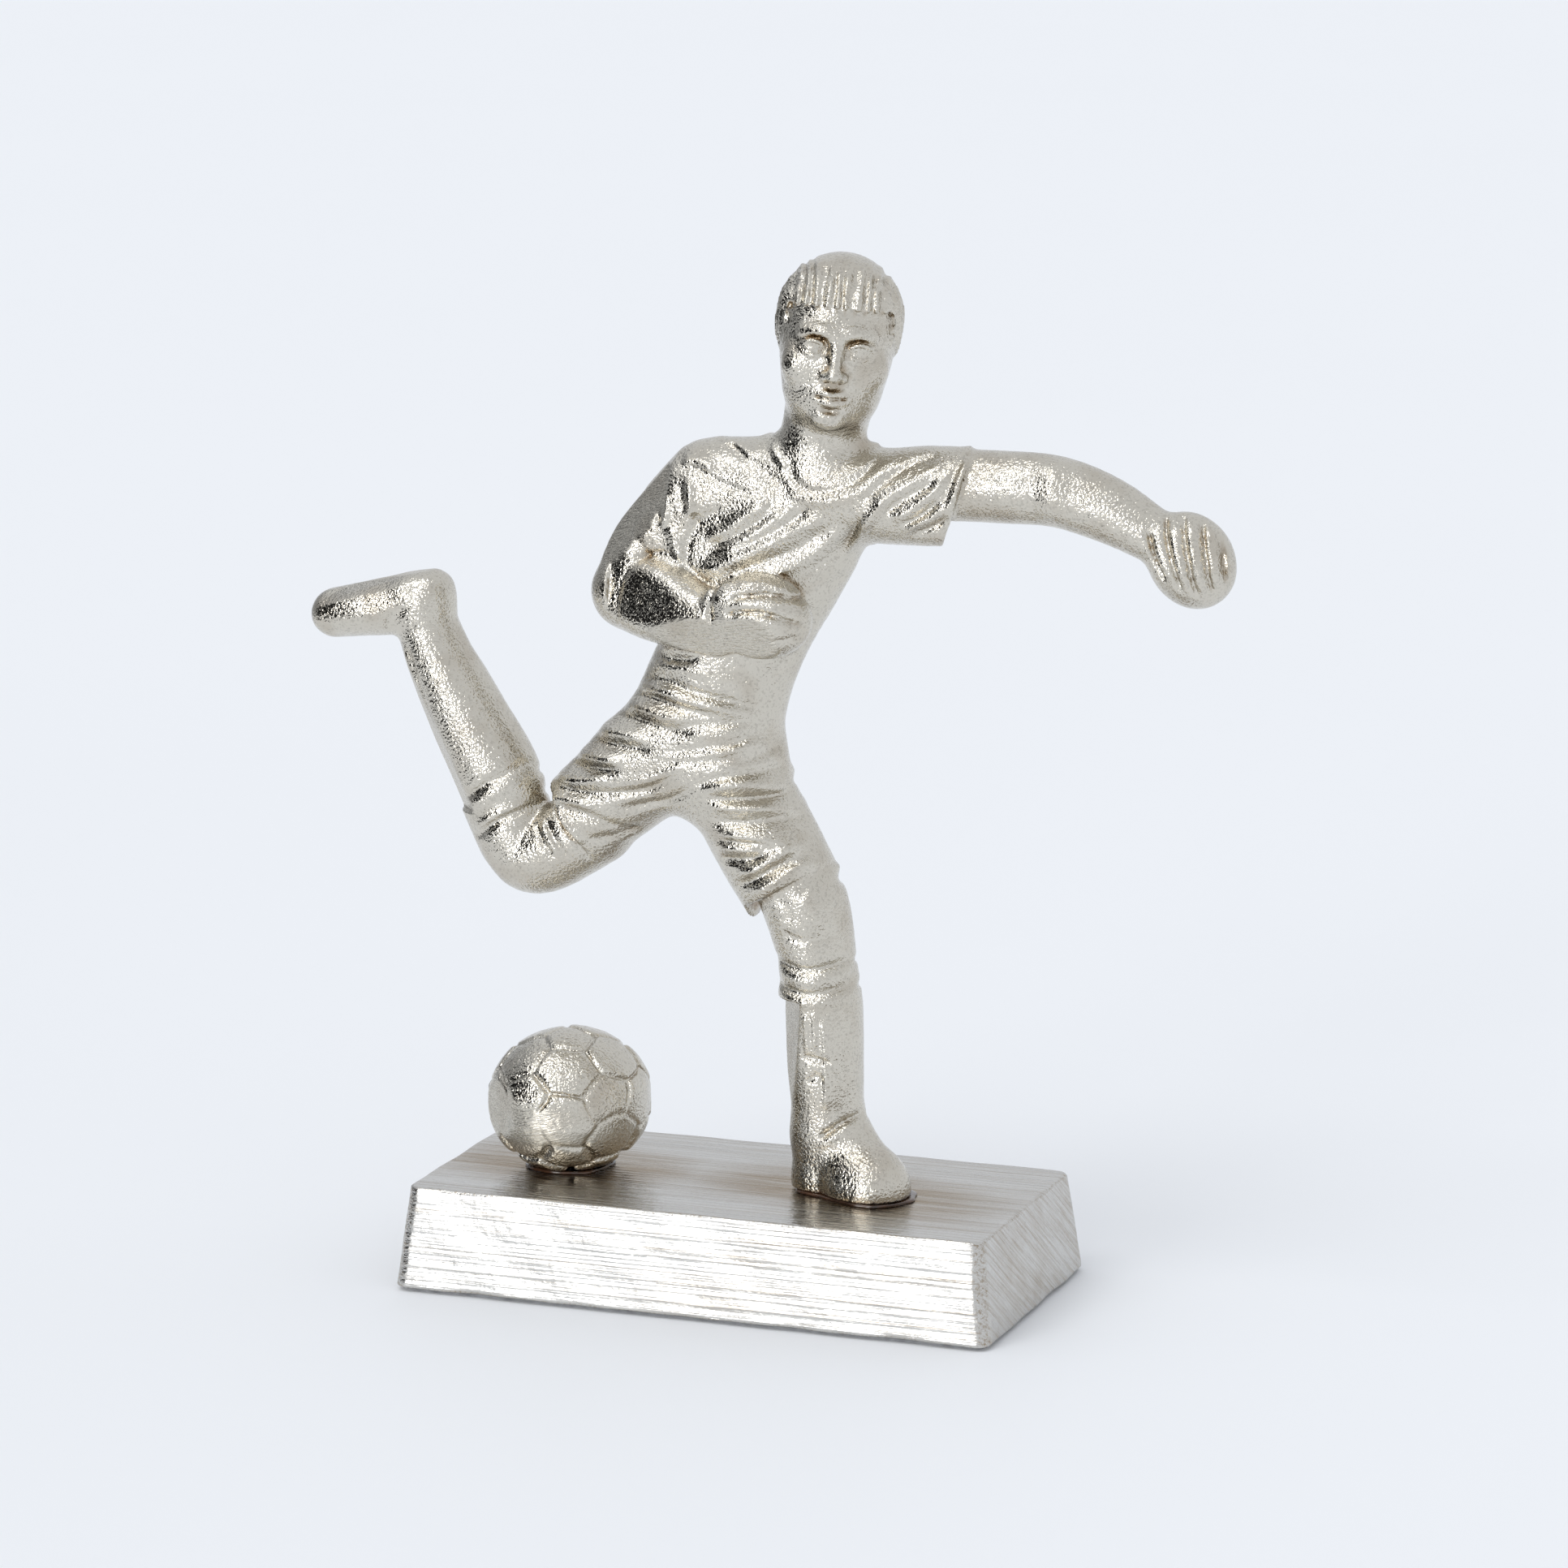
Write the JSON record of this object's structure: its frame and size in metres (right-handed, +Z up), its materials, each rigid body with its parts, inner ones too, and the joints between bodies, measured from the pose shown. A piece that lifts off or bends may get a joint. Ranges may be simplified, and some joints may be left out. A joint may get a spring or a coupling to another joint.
{
  "type": "figure trophy",
  "caption": "Cast metal footballer figure running at a ball, both screwed and bonded to a tapered rectangular plinth.",
  "frame": {"origin": "middle of the felt's underside, on the surface that the trophy stands on", "axes": "+X along the plinth towards the standing foot's toe, +Y to the back, +Z up"},
  "size_m": [0.231, 0.0734, 0.2499],
  "materials": {
    "figure_metal": "nickel-plated sand casting, glossy over fine grain",
    "ball_metal": "nickel-plated sand casting, glossy over fine grain",
    "plinth_metal": "nickel-plated, filed and brushed lengthways",
    "felt": "short-pile felt",
    "epoxy": "clear brown, glossy",
    "steel": "zinc-plated"
  },
  "bodies": {
    "root": {"figure": "figure_metal", "ball": "ball_metal", "plinth": "plinth_metal", "felt_sheet": "felt", "boot_glue": "epoxy", "ball_glue": "epoxy", "heel_screw": "steel", "heel_washer": "steel", "toe_screw": "steel", "toe_washer": "steel", "ball_screw": "steel", "ball_washer": "steel"}
  },
  "joints": []
}
